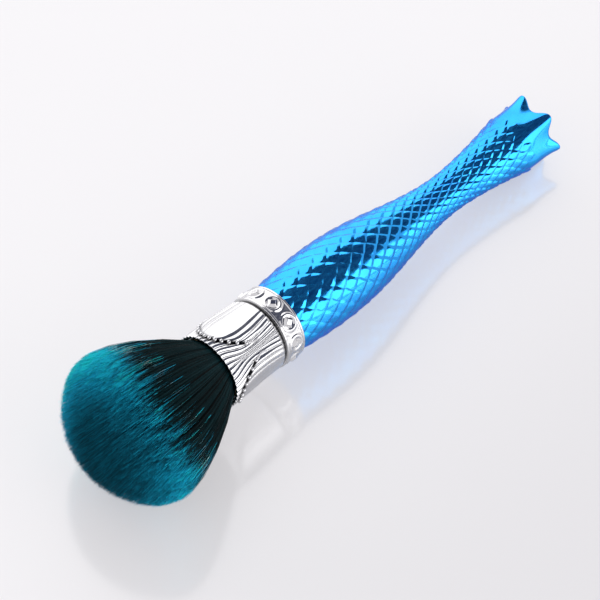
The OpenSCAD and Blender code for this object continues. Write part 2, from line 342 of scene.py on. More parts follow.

# Chrome plate: a sharp neutral mirror, white toward the walls, with painted shade that turns it black in
# creases.
chrome, tree, shader = new_material("chrome_plating")
place = add(tree, "TexCoord")
haze = add(tree, "TexNoise", {"Vector": place.outputs["Object"], "Scale": 1 / CHROME_HAZE,
                              "Detail": 4.0, "Roughness": 0.6})
polish = add(tree, "MapRange", {"Value": haze.outputs["Fac"], "From Min": 0.3, "From Max": 0.7,
                                "To Min": 0.035, "To Max": 0.085})
# Painted shade: the number on each point turns the chrome's colour from white to near black.
depth = add(tree, "Attribute", attribute_name="recess")
colour = add(tree, "ValToRGB", {"Fac": depth.outputs["Fac"]})
colour.color_ramp.elements[0].color = linear("#DADADB")
colour.color_ramp.elements[1].color = linear("#101113")
shader.inputs["Metallic"].default_value = 1.0
tree.links.new(colour.outputs["Color"], shader.inputs["Base Color"])
tree.links.new(polish.outputs["Result"], shader.inputs["Roughness"])
print("chrome has", len(tree.nodes), "nodes")

# %% [markdown]
# ## Ferrule sleeve
# The sleeve looks like a gathered curtain: pleats run along it, drawn together at three knots, and
# cloth swags edged with beads hang from knot to knot. The pleats could be painted as a bump, but
# their scalloped edge shows at the mouth, so they are geometry. The columns of a spun tube are
# moved onto the pleat lines first. Each crease is then sharp without a dense mesh.
# Below, v is the share of the sleeve's length from the mouth, as KNOT_LEVEL and SWAG_LOW are, and
# angles count in degrees from the nearest knot.

# %% Lines of pleats and swags
SLEEVE_TOP, SLEEVE_LENGTH, SLEEVE_RADIUS, SLEEVE_FLARE = -8.4, 22.0, 12.0, 0.5
MOUTH = SLEEVE_TOP - SLEEVE_LENGTH
KNOTS, KNOT_TURN, KNOT_LEVEL, KNOT_HALF = 3, 42.5, 0.45, 14.0
HALF_SWAG, SWAG_LOW = 180 / KNOTS, 0.09
GATHER, GATHER_END = 0.8, 1.4


def ramp(value, low, high):
    """A smooth step from 0 at low to 1 at high."""
    x = min(max((value - low) / (high - low), 0), 1)
    return x * x * (3 - 2 * x)


def gather(v):
    """Power that draws the pleat lines to a knot, strongest at the knots' level."""
    rise = v / KNOT_LEVEL if v < KNOT_LEVEL else (GATHER_END - v) / (GATHER_END - KNOT_LEVEL)
    return 1 + GATHER * ramp(rise, 0, 1)


def swag_level(angle):
    """Share of the sleeve's length at which the bead string passes, at an angle from the knot."""
    hang = (HALF_SWAG - abs(angle)) / (HALF_SWAG - KNOT_HALF)
    return KNOT_LEVEL - (KNOT_LEVEL - SWAG_LOW) * (1 - hang * hang)


def sleeve_radius(v):
    """Radius of the plain sleeve, which widens toward its mouth."""
    return SLEEVE_RADIUS + SLEEVE_FLARE * (1 - v)


print("mouth of the sleeve", MOUTH, "mm from the seam, radius", sleeve_radius(0))

# %% Relief of the sleeve
PLEATS, PLEAT_HEIGHT, DRAPE_HEIGHT, STRING_GROOVE = 14, 0.44, 0.26, 0.25
# Painted shade in the creases, in the groove under the beads and at the joint with the collar.
CREASE_SHADE, STRING_SHADE, FAR_BELOW = 0.3, 1.3, -3.0
# Where a change starts and ends: in millimetres over the bead string, in degrees from the knot, or in v.
SWAG_EDGE, DRAPE_FADE = (-0.3, 0.6), (4.0, 12.0)
STRING_ENDS, SWAG_ENDS, SMOOTH_CLOTH = (KNOT_HALF - 1, KNOT_HALF), (KNOT_HALF, KNOT_HALF + 5), (24, 44)
CREASE_START, FLATTER_END, JOINT_SHADE = (0.02, 0.3), (0.94, 1.0), (0.965, 0.98)


def sleeve_relief(share, angle, v):
    """Height of pleats and swags and the painted shade of their creases and grooves, on the pleat line
    share.
    """
    wave = abs(math.sin(math.pi * PLEATS * share / 2))
    aside = abs(angle)
    above = (v - swag_level(angle)) * SLEEVE_LENGTH if aside > KNOT_HALF else FAR_BELOW
    swag = ramp(above, *SWAG_EDGE) * ramp(aside, *SWAG_ENDS)
    smooth_cloth = swag * ramp(aside, *SMOOTH_CLOTH)
    string = math.exp(-above ** 2) * ramp(aside, *STRING_ENDS)
    # The cloth of a swag stands over the pleats and nearly hides them in its middle.
    pleat = PLEAT_HEIGHT * wave ** 0.8 * (1 - 0.75 * smooth_cloth)
    drape = DRAPE_HEIGHT * swag * (1 - ramp(above, *DRAPE_FADE))
    flatter_end = 1 - 0.8 * ramp(v, *FLATTER_END)
    height = (pleat + drape) * flatter_end - STRING_GROOVE * string
    # Painted shade darkens the creases, the groove under the beads and the joint with the collar.
    crease = (1 - wave) ** 4 * (1 - 0.85 * smooth_cloth) * (1 + 0.7 * swag)
    crease_shade = CREASE_SHADE * crease * ramp(v, *CREASE_START)
    return height, max(crease_shade, min(1, STRING_SHADE * string), ramp(v, *JOINT_SHADE))


print("relief in the middle of a swag", sleeve_relief(-1, -HALF_SWAG, KNOT_LEVEL))

# %% The sleeve
SLEEVE_BORE, SLEEVE_WALL, LIP = 11.3, 0.45, 0.1
LIP_DEPTH, SLEEVE_ROWS, FIRST_ROW = 2.2, 81, 0.004
COLUMNS_PER_PLEAT = 12
profile = [(SLEEVE_BORE, MOUTH + LIP_DEPTH),
           (sleeve_radius(0) - SLEEVE_WALL, MOUTH + LIP),
           (sleeve_radius(0) - LIP, MOUTH)]
profile += [(sleeve_radius(v), MOUTH + v * SLEEVE_LENGTH)
            for v in np.linspace(FIRST_ROW, 1, SLEEVE_ROWS)]
profile += [(SLEEVE_BORE, SLEEVE_TOP)]
sleeve_bm = lathe(profile, KNOTS * PLEATS * COLUMNS_PER_PLEAT)
recess = sleeve_bm.verts.layers.float.new("recess")
for vert in sleeve_bm.verts:
    v = (vert.co.z - MOUTH) / SLEEVE_LENGTH
    radius = vert.co.xy.length
    turn = math.degrees(math.atan2(vert.co.y, vert.co.x)) % 360
    sector, rest = divmod(turn, 2 * HALF_SWAG)
    share = rest / HALF_SWAG - 1
    angle = math.copysign(HALF_SWAG * abs(share) ** gather(min(max(v, 0), 1)), share)
    if radius > sleeve_radius(v) - 2 * LIP:
        height, vert[recess] = sleeve_relief(share, angle, v)
        radius += height
    vert.co = around(radius, KNOT_TURN + 2 * HALF_SWAG * sector + angle, vert.co.z)
make_piece("ferrule_pleats", sleeve_bm, chrome, "ferrule_sleeve")

# %% [markdown]
# ## Bead strings
# A string of small round beads edges each swag and ends in a little curl beside the knot. One bead
# is a low ball. The same ball is placed along the string, and ever smaller ones make the curl.

# %% Beads
BEADS, BEAD_RADIUS, BEAD_LIFT = 13, 0.68, 0.36
CURL_BEADS, CURL_RADIUS, CURL_TAPER, CURL_LIFT = 9, 0.5, 0.36, 0.5
CURL_START, CURL_SWING, CURL_FOOT, CURL_RISE = 1.5, 3.2, 0.9, 4.6
beads_bm = bmesh.new()


def put_bead(angle, level, radius, lift):
    """One bead on the sleeve."""
    v = (level - MOUTH) / SLEEVE_LENGTH
    spot = around(sleeve_radius(v) + lift, angle, level)
    bmesh.ops.create_icosphere(beads_bm, subdivisions=2, radius=radius,
                               matrix=Matrix.Translation(spot))


half_string = HALF_SWAG - KNOT_HALF
for knot in range(KNOTS):
    middle = KNOT_TURN + 2 * HALF_SWAG * knot + HALF_SWAG
    for bead in range(BEADS):
        aside = half_string * (2 * bead / (BEADS - 1) - 1)
        level = MOUTH + swag_level(HALF_SWAG - abs(aside)) * SLEEVE_LENGTH
        put_bead(middle + aside, level, BEAD_RADIUS, BEAD_LIFT)
    for side in (-1, 1):
        for bead in range(CURL_BEADS):
            s = bead / (CURL_BEADS - 1)
            aside = half_string + CURL_START + CURL_SWING * math.sin(math.pi * s)
            level = MOUTH + KNOT_LEVEL * SLEEVE_LENGTH + CURL_FOOT + CURL_RISE * s
            put_bead(middle + side * aside, level, CURL_RADIUS - CURL_TAPER * s, CURL_LIFT)
make_piece("ferrule_beads", beads_bm, chrome, "ferrule_sleeve")

# %% [markdown]
# ## Collar
# The collar is a turned band with a thin rim at each edge, and a groove beside the sleeve and beside
# the handle. Ten cut studs stand in shallow round dishes with a raised edge. The band is spun from
# its section, and the dishes are pressed into it by moving the points near each stud.

# %% Collar band
RIM, BAND, GROOVE, COLLAR_BORE = 12.5, 12.15, 11.75, 11.25
CORNER, BAND_LOW, BAND_HIGH, BAND_ROWS = 0.12, -6.85, -1.3, 38
STUDS, STUD_TURN, STUD_LEVEL = 10, 5.1, SLEEVE_TOP / 2 + 0.1
DISH, DISH_DEPTH, DISH_FLOOR, GROOVE_SHADE = 2.75, 0.1, (0.3, 0.8), 0.95
EDGE_HEIGHT, EDGE_PLACE, EDGE_WIDTH = 0.5, 0.9, 0.26
HALF_STUD, COLUMNS_PER_STUD = 180 / STUDS, 36
section = [(COLLAR_BORE, SLEEVE_TOP), (GROOVE, SLEEVE_TOP), (GROOVE, -7.95), (GROOVE + 0.1, -7.85),
           (RIM - CORNER, -7.8), (RIM, -7.66), (RIM, -7.2), (RIM - CORNER, -7.02),
           (BAND + 0.05, -6.94)]
section += [(BAND, level) for level in np.linspace(BAND_LOW, BAND_HIGH, BAND_ROWS)]
section += [(BAND + 0.05, -1.22), (RIM - CORNER, -1.14), (RIM, -1.0), (RIM, -0.6),
            (RIM - CORNER, -0.46), (GROOVE + 0.1, -0.42), (GROOVE, -0.36), (GROOVE, -0.05),
            (COLLAR_BORE, -0.05)]
collar_bm = lathe(section, STUDS * COLUMNS_PER_STUD)
recess = collar_bm.verts.layers.float.new("recess")
for vert in collar_bm.verts:
    # The grooves beside sleeve and handle get painted shade.
    vert[recess] = GROOVE_SHADE if vert.co.xy.length < GROOVE + 0.06 else 0.0
    if abs(vert.co.xy.length - BAND) > 0.02 or not BAND_LOW - 0.05 < vert.co.z < BAND_HIGH + 0.05:
        continue
    turn = math.degrees(math.atan2(vert.co.y, vert.co.x)) - STUD_TURN
    aside = (turn + HALF_STUD) % (2 * HALF_STUD) - HALF_STUD
    away = math.hypot(math.radians(aside) * BAND, vert.co.z - STUD_LEVEL) / DISH
    swell = EDGE_HEIGHT * math.exp(-((away - EDGE_PLACE) / EDGE_WIDTH) ** 2)
    sink = DISH_DEPTH * (1 - ramp(away, *DISH_FLOOR))
    vert.co.xy *= (BAND + swell - sink) / BAND
make_piece("collar_band", collar_bm, chrome, "collar_ring")

# %% [markdown]
# A stud is a low pyramid with four facets and a flat table on top. A cone of four sides gives it,
# and a narrow bevel gives the facets the soft edges of a cast and plated stone.

# %% Studs
STUD_LONG, STUD_WIDE, STUD_HEIGHT, STUD_TABLE, STUD_BEVEL = 2.45, 2.15, 0.9, 0.5, 0.1
studs_bm = bmesh.new()
outward = Matrix.Translation((BAND - 0.05, 0, STUD_LEVEL)) @ Matrix.Rotation(math.pi / 2, 4, "Y")
outward = outward @ Matrix.Diagonal((STUD_LONG, STUD_WIDE, 1, 1))
for stud in range(STUDS):
    turn = Matrix.Rotation(math.radians(STUD_TURN + 2 * HALF_STUD * stud), 4, "Z")
    bmesh.ops.create_cone(studs_bm, cap_ends=True, segments=4, radius1=1, radius2=STUD_TABLE,
                          depth=STUD_HEIGHT,
                          matrix=turn @ outward @ Matrix.Translation((0, 0, STUD_HEIGHT / 2)))
bmesh.ops.recalc_face_normals(studs_bm, faces=studs_bm.faces)
bmesh.ops.bevel(studs_bm, geom=studs_bm.edges[:], offset=STUD_BEVEL, offset_type="OFFSET", segments=2,
                profile=0.5, affect="EDGES", material=-1)
make_piece("collar_studs", studs_bm, chrome, "collar_ring", smooth=False)

# %% [markdown]
# ## Blue plating
# The handle is moulded plastic, plated with metal and then lacquered with a clear blue. Light passes
# the lacquer twice, so the mirror below takes its colour, at its edges too, and the lacquer's own
# skin adds a weak white shine. A metal with a blue colour, a blue edge tint and half a clear coat
# behaves in the same way.

# %% Blue plating material
TINT_PATCH, ORANGE_PEEL = 9 * MM, 0.8 * MM

# Lacquered plating: a vivid blue mirror, nearly black under the ceiling and cyan under the walls.
plating, tree, shader = new_material("blue_lacquered_plating")
place = add(tree, "TexCoord")
cloud = add(tree, "TexNoise", {"Vector": place.outputs["Object"], "Scale": 1 / TINT_PATCH,
                               "Detail": 3.0})
tone = add(tree, "ValToRGB", {"Fac": cloud.outputs["Fac"]})
deep, clear = tone.color_ramp.elements
deep.position, deep.color = 0.3, linear("#189AF2")
clear.position, clear.color = 0.7, linear("#22B2FC")
fine = add(tree, "TexNoise", {"Vector": place.outputs["Object"], "Scale": 1 / ORANGE_PEEL,
                              "Detail": 3.0})
polish = add(tree, "MapRange", {"Value": fine.outputs["Fac"], "From Min": 0.3, "From Max": 0.7,
                                "To Min": 0.10, "To Max": 0.17})
tree.links.new(tone.outputs["Color"], shader.inputs["Base Color"])
tree.links.new(polish.outputs["Result"], shader.inputs["Roughness"])
shader.inputs["Metallic"].default_value = 1.0
shader.inputs["Specular Tint"].default_value = linear("#4398E6")
shader.inputs["Coat Weight"].default_value = 0.5
shader.inputs["Coat Roughness"].default_value = 0.06
print("blue plating has", len(tree.nodes), "nodes")

# %% [markdown]
# ## Scales
# Sixteen scales go round the handle in each row, and each row is turned by half a scale. A scale is
# a rounded lozenge that rises from its root to its free tip, with a soft lip along the edges of its
# tip half. One flat disc with a few rings of faces is made for it. For every row the disc is bent
# onto the handle's outline, and a spin repeats it round the axis.

# %% Handle outline and rows
HANDLE_LENGTH = 107.2
SEAM_RADIUS, BULGE_RADIUS, WAIST_RADIUS, END_RADIUS = 12.1, 13.4, 6.9, 10.7
BULGE, WAIST = 0.19 * HANDLE_LENGTH, 0.712 * HANDLE_LENGTH
NECK_POWER, END_POWER = 1.1, 1.65
SCALES, LONG_ROWS, SHORT_ROWS, LONG_SHARE = 16, 8, 12, 0.468


def handle_outline(z):
    """Radius of the handle over the scale tips."""
    if z < BULGE:
        return SEAM_RADIUS + (BULGE_RADIUS - SEAM_RADIUS) * math.sin(math.pi / 2 * z / BULGE)
    if z < WAIST:
        fall = (1 + math.cos(math.pi * ((z - BULGE) / (WAIST - BULGE)) ** NECK_POWER)) / 2
        return WAIST_RADIUS + (BULGE_RADIUS - WAIST_RADIUS) * fall
    rise = ((z - WAIST) / (HANDLE_LENGTH - WAIST)) ** END_POWER
    return WAIST_RADIUS + (END_RADIUS - WAIST_RADIUS) * rise


def row_level(j):
    """Level of the half row j of scales."""
    if j <= 2 * LONG_ROWS:
        return j * HANDLE_LENGTH * LONG_SHARE / (2 * LONG_ROWS)
    return HANDLE_LENGTH * (LONG_SHARE + (1 - LONG_SHARE) * (j - 2 * LONG_ROWS) / (2 * SHORT_ROWS))


print("a long row is", round(row_level(2), 2), "mm, the waist is", round(WAIST, 1), "mm from the seam")

# %% [markdown]
# The flat scale is a disc of a few rings. Each ring has a size, as a share of the scale's half
# width, and a drop in millimetres, which makes the lip when the scale is bent.

# %% One flat scale
RINGS = ((0.44, 0.0), (0.56, 0.04), (0.7, 0.15), (0.86, 0.3), (1.1, 0.56))
SIDES = 12


def grow_ring(bm, rim):
    """Extrude an open rim. Gives the points and the edges of the new rim."""
    grown = bmesh.ops.extrude_edge_only(bm, edges=rim)["geom"]
    points = [part for part in grown if isinstance(part, bmesh.types.BMVert)]
    edges = [part for part in grown if isinstance(part, bmesh.types.BMEdge) and part.is_boundary]
    return points, edges


scale_bm = bmesh.new()
bmesh.ops.create_circle(scale_bm, cap_ends=True, cap_tris=True, segments=SIDES, radius=RINGS[0][0])
rim = [edge for edge in scale_bm.edges if edge.is_boundary]
for (inner, _), (outer, drop) in zip(RINGS, RINGS[1:]):
    ring, rim = grow_ring(scale_bm, rim)
    bmesh.ops.scale(scale_bm, vec=(outer / inner, outer / inner, 1), verts=ring)
    for vert in ring:
        vert.co.z = -drop
bmesh.ops.recalc_face_normals(scale_bm, faces=scale_bm.faces)
if scale_bm.faces[0].normal.z < 0:
    bmesh.ops.reverse_faces(scale_bm, faces=scale_bm.faces)
scale_mesh = finished_mesh("flat_scale", scale_bm)
print("one scale has", len(scale_mesh.polygons), "faces")

# %% Bend a scale onto the handle
HALF_PITCH, SCALE_TURN = 180 / SCALES, 5.2
SCALE_STEP, SCALE_FLAT, ROUNDING, LIP_START = 0.4, 0.7, 1.28, (0.5, 1.2)


def on_handle(point, row):
    """The place that a point of the flat scale takes in a row on the handle.

    Across the scale w runs from -1 to 1, and along it s runs from 0 at its root to 2 at its tip.
    """
    x, y, drop = point
    size = math.hypot(x, y)
    corner = (abs(x) ** ROUNDING + abs(y) ** ROUNDING) ** (1 / ROUNDING) if size else 1
    w = x * size / corner
    s = 1 + y * size / corner
    half = row + 1 if s > 1 else row
    level = row_level(row + 1) + (s - 1) * (row_level(half + 1) - row_level(half))
    flat = SCALE_FLAT * (1 / math.cos(math.radians(w * HALF_PITCH)) - 1)
    lift = SCALE_STEP * (s - 2) + flat * handle_outline(level) + drop * ramp(s, *LIP_START)
    middle = SCALE_TURN + (row % 2) * HALF_PITCH
    return around(handle_outline(level) + lift, middle + w * HALF_PITCH, level)


print("a scale's tip stands at", on_handle((0, 1, 0), 0))

# %% All scales
HALF_CUT = 0.004


def whole(bm):
    """All points, edges and faces of a bmesh, as an operator takes them."""
    return bm.verts[:] + bm.edges[:] + bm.faces[:]


handle_bm = bmesh.new()
for row in range(-1, 2 * (LONG_ROWS + SHORT_ROWS) - 1):
    row_bm = bmesh.new()
    row_bm.from_mesh(scale_mesh)
    if row < 0:
        # Of the first row only the tip half shows over the collar.
        bmesh.ops.bisect_plane(row_bm, geom=whole(row_bm), plane_co=(0, HALF_CUT, 0),
                               plane_no=(0, 1, 0), clear_inner=True)
    for vert in row_bm.verts:
        vert.co = on_handle(vert.co, row)
    bmesh.ops.spin(row_bm, geom=whole(row_bm), cent=(0, 0, 0), axis=(0, 0, 1),
                   angle=math.tau * (SCALES - 1) / SCALES, steps=SCALES - 1, use_duplicate=True)
    row_mesh = finished_mesh("scale_row", row_bm)
    handle_bm.from_mesh(row_mesh)
    bpy.data.meshes.remove(row_mesh)
make_piece("handle_scales", handle_bm, plating, "handle_shell")

# %% [markdown]
# ## Tail
# The smooth tail grows out of the last scales and spreads into six rounded points, with broad
# flutes between them. The points that lie on the table are a little shorter. A ring of edges is
# extruded level by level, and each level is moved toward the star. A few smaller rings close the
# end as a shallow dish, and subdivision rounds the points.

# %% Outline of the tail
TAIL_END, TAIL_LENGTH, TAIL_POINTS, TAIL_NOTCH = 117.6, 9.8, 6, 2.4
TAIL_OVERLAP, RIDGE_POWER, COLUMNS_PER_POINT = 4.5, 1.2, 12
TAIL_BASE, TAIL_COLUMNS = HANDLE_LENGTH - TAIL_OVERLAP, COLUMNS_PER_POINT * TAIL_POINTS
TAIL_RADIUS, TAIL_ROOT, TAIL_RIDGE = 10.0, 0.7, 0.7
POINT_SPREAD, VALLEY_SINK, LOWER_CUT = 1.3, 0.5, 1.1


def ridge(angle):
    """Share of the way from valley to ridge. Two ridges point down at equal angles."""
    return ((1 - math.cos(TAIL_POINTS * math.radians(angle - 180))) / 2) ** RIDGE_POWER


def tail_point(column, m, inset=0.0, dip=0.0):
    """A point of the tail: part m of the way from its base to its end."""
    angle = 360 * column / TAIL_COLUMNS
    c = ridge(angle)
    level = TAIL_BASE + m * (TAIL_END - TAIL_NOTCH * (1 - c) - TAIL_BASE)
    free = max(0.0, (level - HANDLE_LENGTH) / TAIL_LENGTH)
    root = min(1, (level - TAIL_BASE) / (HANDLE_LENGTH - TAIL_BASE))
    radius = TAIL_RADIUS - TAIL_ROOT * (1 - root) ** 2 + TAIL_RIDGE * c * root ** 2
    radius += (POINT_SPREAD * c - VALLEY_SINK * (1 - c)) * free ** 3
    radius -= LOWER_CUT * free * ((1 - math.cos(math.radians(angle))) / 2) ** 2
    return around(radius - inset, angle, level - dip)


print("a point of the tail ends at", tail_point(COLUMNS_PER_POINT // 2, 1))

# %% The tail
TAIL_LEVELS = (0.3, 0.5, 0.64, 0.76, 0.87, 0.95, 1.0)
END_RINGS = ((0.5, -0.3), (1.3, -0.35), (2.0, 0.1), (2.9, 1.6), (4.2, 2.6))


def by_angle(vert):
    """Sorting key: the angle of a point round the axis."""
    return math.atan2(vert.co.y, vert.co.x) % math.tau


tail_bm = bmesh.new()
bmesh.ops.create_circle(tail_bm, cap_ends=False, segments=TAIL_COLUMNS, radius=TAIL_RADIUS)
for column, vert in enumerate(sorted(tail_bm.verts, key=by_angle)):
    vert.co = tail_point(column, 0)
rim = tail_bm.edges[:]
steps = [(m, 0.0, 0.0) for m in TAIL_LEVELS]
steps += [(1.0, inset, dip) for inset, dip in END_RINGS]
for m, inset, dip in steps:
    ring, rim = grow_ring(tail_bm, rim)
    for column, vert in enumerate(sorted(ring, key=by_angle)):
        vert.co = tail_point(column, m, inset, dip)
bmesh.ops.contextual_create(tail_bm, geom=rim)
bmesh.ops.recalc_face_normals(tail_bm, faces=tail_bm.faces)
tail = make_piece("tail_star", tail_bm, plating, "tail_fin")
rounding = tail.modifiers.new("rounding", "SUBSURF")
rounding.levels = rounding.render_levels = 1

# %% [markdown]
# ## Dyed filaments
# The tuft is synthetic fibre, black at the root and dip-dyed teal toward the tip. The dye climbs to
# a different height in each filament, so the border is ragged. Some filaments there are drawn pale,
# as painted glints. Each filament carries two numbers in its UV map: its tone, and how far a point is
# past the border of the dye. The second number picks the colour. The first one, a random tone with
# painted light and shade, makes it darker or lighter.

# %% Fibre material
DARKEST, LIGHTEST, DYE_RANGE = 0.08, 5.0, 90.0


def dye_place(past):
    """Place in the colours of the dye, some millimetres past its border."""
    return 0.5 + past / DYE_RANGE


# Dyed synthetic fibre: nearly matt, black and then a deep teal; its tone carries painted light.
fibre, tree, shader = new_material("dyed_synthetic_fibre")
strand_map = add(tree, "UVMap", uv_map="strand")
split = add(tree, "SeparateXYZ", {"Vector": strand_map.outputs["UV"]})
dye = add(tree, "ValToRGB", {"Fac": split.outputs["Y"]})
stops = dye.color_ramp.elements
stops[0].position, stops[0].color = dye_place(-0.45), linear("#05171A")
# The pale colour at the top of the ramp is for the painted glints.
stops[1].position, stops[1].color = 1.0, linear("#7FA9B8")
stops.new(dye_place(1.35)).color = linear("#0A637B")
stops.new(dye_place(6.3)).color = linear("#0E90B3")
stops.new(dye_place(32.4)).color = linear("#0E90B3")
# The tone, random and with painted light and shade, scales the colour of the dye.
shade = add(tree, "MapRange", {"Value": split.outputs["X"], "To Min": DARKEST, "To Max": LIGHTEST})
toned = add(tree, "Mix", {0: 1.0, "A": dye.outputs["Color"], "B": shade.outputs["Result"]},
            data_type="RGBA", blend_type="MULTIPLY", clamp_result=True)
shader.inputs["Roughness"].default_value = 0.5
shader.inputs["Specular IOR Level"].default_value = 0.06
tree.links.new(toned.outputs[2], shader.inputs["Base Color"])
print("fibre has", len(stops), "stops of colour")

# %% [markdown]
# ## Tuft
# A real tuft has tens of thousands of filaments, each thinner than a tenth of a millimetre. Hair
# curves would not be carried into a mesh file, so each filament is a thin three-sided spike. One
# spike is made, doubled again and again, and the copies are then bent into place: they leave the
# ferrule close together, flare out, and end on the rounded crown. They are drawn about twice as
# thick as real ones, so that they show.

# %% One spike, doubled
BLOCK_DOUBLINGS, SPIKE_TIP, SPIKE_CUTS = 12, 0.36, 3
spike_bm = bmesh.new()
bmesh.ops.create_cone(spike_bm, cap_ends=True, segments=3, radius1=1.0, radius2=SPIKE_TIP, depth=1.0,
                      matrix=Matrix.Translation((0, 0, 0.5)))
long_edges = [edge for edge in spike_bm.edges
              if abs(edge.verts[0].co.z - edge.verts[1].co.z) > 0.5]
bmesh.ops.subdivide_edges(spike_bm, edges=long_edges, cuts=SPIKE_CUTS, use_grid_fill=True)
spike = np.array([vert.co for vert in spike_bm.verts])
for _ in range(BLOCK_DOUBLINGS):
    bmesh.ops.duplicate(spike_bm, geom=whole(spike_bm))
block_mesh = finished_mesh("spikes", spike_bm)
count = 2 ** BLOCK_DOUBLINGS
print("one spike has", len(spike), "points; a block has", count, "spikes")

# %% [markdown]
# Every filament keeps its share of the radius, rho, from root to tip. Its length follows from that,
# because all tips lie on the crown. Two short formulas hold the form of the tuft: how the bundle
# flares with the part u of a filament's length, and how deep the crown is at rho. A third one is
# the slope of the crown, which the light on the tips needs.

# %% Form of the tuft
ROOT_LEVEL, ROOT_RADIUS = -28.4, 10.1
TUFT_RADIUS, CROWN_DEPTH, WIDEST = 26.0, 19.5, MOUTH - 30.5
FLARE, CROWN = 1.5, 1.8
ALMOST_RIM = 0.995


def bundle(u):
    """Radius of the whole bundle at the part u of a filament's length."""
    return ROOT_RADIUS + (TUFT_RADIUS - ROOT_RADIUS) * (1 - (1 - u) ** FLARE)


def crown(rho):
    """Depth of the crown past the widest level."""
    return CROWN_DEPTH * (1 - rho ** CROWN) ** (1 / CROWN)


def crown_slope(rho):
    """Steepness of the crown, which is flat in its middle and upright at its rim."""
    inside = 1 - np.minimum(rho, ALMOST_RIM) ** CROWN
    return CROWN_DEPTH / TUFT_RADIUS * inside ** (1 / CROWN - 1) * rho ** (CROWN - 1)


print("the tuft is", 2 * bundle(1), "mm wide and ends", round(WIDEST - crown(0), 1), "mm from the seam")

# %% [markdown]
# Filaments of a brush cling together in small clumps, which lean the same way and took the dye to
# the same height. A grid of random numbers over the tuft, one set for each clump, gives all
# filaments in it a common part, and each filament adds a little of its own. A few blocks hold only
# filaments near the rim, because those are the ones that show.

# %% Draw the filaments of a block
CLUMP_RINGS, CLUMP_SECTORS = 9, 480
RIM_START, TIP_NOISE, CLUMP_SWAY, OWN_SWAY = 0.78, 0.45, 0.25, 0.15
GLINT_SHARE, GLINT_FROM, GLINT_THICKER = 0.22, 0.92, 1.3
THIN, THICK = 0.05, 0.085
chance = np.random.default_rng(7)
clumps = chance.normal(0, 1, (CLUMP_RINGS, CLUMP_SECTORS, 4))
stagger = chance.random(CLUMP_SECTORS)


def draw_filaments(near_rim):
    """Places, lengths, leans and widths of the filaments of one block."""
    hair = SimpleNamespace()
    hair.rho = np.sqrt(chance.uniform(RIM_START if near_rim else 0.0, 1.0, count))
    hair.turn = chance.uniform(0, math.tau, count)
    sector = (hair.turn / math.tau * CLUMP_SECTORS).astype(int)
    ring = ((CLUMP_RINGS - 1) * hair.rho + stagger[sector]).astype(int)
    hair.clump = clumps[ring, sector]
    hair.tip = WIDEST - crown(hair.rho) + chance.normal(0, TIP_NOISE, count)
    hair.sway = CLUMP_SWAY * hair.clump[:, :2] + chance.normal(0, OWN_SWAY, (count, 2))
    # Painted glints: some filaments near the rim are drawn pale near the border, and a little thicker.
    hair.pale = (chance.random(count) < GLINT_SHARE) & (hair.rho > GLINT_FROM)
    hair.thick = chance.uniform(THIN, THICK, count) * np.where(hair.pale, GLINT_THICKER, 1.0)
    return hair


print(CLUMP_RINGS * CLUMP_SECTORS, "clumps drawn")

# %% [markdown]
# Painted light and shade change the tone round the tuft: it is lighter toward the upper left, and
# darker toward the core of the crown. The border of the dye changes round the tuft too. The brush was
# dipped at a slant, so the border lies nearest the tips on the side that faces the camera. The angle
# side counts from the tuft's upper left outline in the picture: 90 degrees faces the camera and 180
# degrees is the lower right outline.

# %% Painted light in the tone, and the border of the dye
SIDE_TURN = math.radians(61.5)
# Tone has a random part for each clump and filament, and painted light and shade by side and by rho.
TONE_LOW, TONE_HIGH, CLUMP_TONE, OWN_TONE = 0.02, 0.66, 0.2, 0.1
CORE_TONE, CORE_SHADE_POWER, LEFT_LIGHT_POWER = 0.01, 4, 2.2
PAINTED_LIGHT, PAINTED_LIGHT_TOP, PAINTED_LIGHT_FRONT, PAINTED_LIGHT_CORNERS, PAINTED_LIGHT_LEFT = 0.42, 0.1, -0.03, 0.05, 0.1
BORDER, BORDER_RISE, BORDER_BEND, BORDER_TILT = -65.8, 11.5, 1.6, 2.5
CLUMP_BORDER, OWN_BORDER = 2.2, 2.6


def draw_dye(hair):
    """Tone of each filament, with painted light and shade, and the level at which its dye ends."""
    hair.side = hair.turn + SIDE_TURN
    # Painted light: the tone rises and falls round the tuft, highest toward the upper left.
    left = np.maximum(0, np.cos(hair.side + math.radians(45)))
    glow = PAINTED_LIGHT + PAINTED_LIGHT_TOP * np.cos(hair.side) + PAINTED_LIGHT_FRONT * np.sin(hair.side)
    glow += PAINTED_LIGHT_CORNERS * np.cos(2 * hair.side + math.pi / 4) + PAINTED_LIGHT_LEFT * left
    # Painted shade: filaments toward the core of the crown are darker, less so on the left.
    fade = hair.rho ** (CORE_SHADE_POWER - LEFT_LIGHT_POWER * left)
    tone = CORE_TONE + (glow + CLUMP_TONE * hair.clump[:, 2]) * fade
    hair.tone = np.clip(tone + chance.normal(0, OWN_TONE, count), TONE_LOW, TONE_HIGH)
    hair.border = BORDER + BORDER_RISE * np.tanh(BORDER_BEND - BORDER_BEND * np.sin(hair.side))
    hair.border += BORDER_TILT * np.cos(hair.side)
    hair.border += CLUMP_BORDER * hair.clump[:, 3] + chance.normal(0, OWN_BORDER, count)


print("dye border between", BORDER, "and", round(BORDER + BORDER_RISE, 1), "mm from the seam")

# %% [markdown]
# Each filament is a row of numbers and each point of a spike is a column, so that all spikes of a
# block are bent at once. Thin spikes that are lit by their own flat faces would glitter. They get
# the direction of the tuft's surface instead, with half as much of their own.

# %% Bend the spikes
BUNCHED, TAPER, OWN_FACE = 0.85, 0.25, 0.5
END_START, CLEARANCE = 0.75, 0.05 * MM
lay = np.array(lay_down)
u = np.clip(spike[None, :, 2], 0, 1) ** BUNCHED
spike_width = np.hypot(spike[:, 0], spike[:, 1])[None, :]
spike_turn = np.arctan2(spike[:, 1], spike[:, 0])[None, :]


